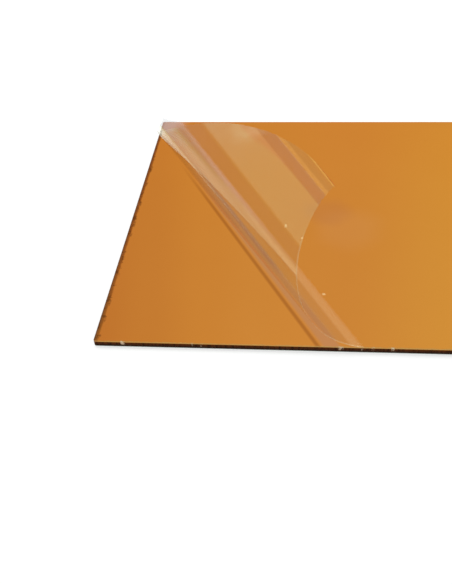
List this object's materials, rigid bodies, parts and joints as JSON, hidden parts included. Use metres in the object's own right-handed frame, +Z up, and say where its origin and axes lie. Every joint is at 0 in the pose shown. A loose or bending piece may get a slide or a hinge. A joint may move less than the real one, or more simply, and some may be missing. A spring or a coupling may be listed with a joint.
{
  "type": "aluminium composite panel",
  "caption": "Flat sandwich sheet with a gold mirror face, a dark plastic core and a clear protective film whose corner is peeled back in a curl.",
  "frame": {"origin": "centre of the underside, on the face that the sheet lies on", "axes": "+X along the sheet's length, +Y across its width, from the edge nearest in the picture to the far one, +Z up out of the mirror face"},
  "size_m": [0.6, 0.3, 0.084],
  "materials": {
    "mirror_face": "gold mirror coat",
    "core": "sawn dark plastic",
    "back_skin": "plain service coat",
    "film": "clear, glossy, thin"
  },
  "bodies": {
    "root": {"front_skin": "mirror_face", "core": "core", "back_skin": "back_skin", "protective_film": "film"}
  },
  "joints": []
}
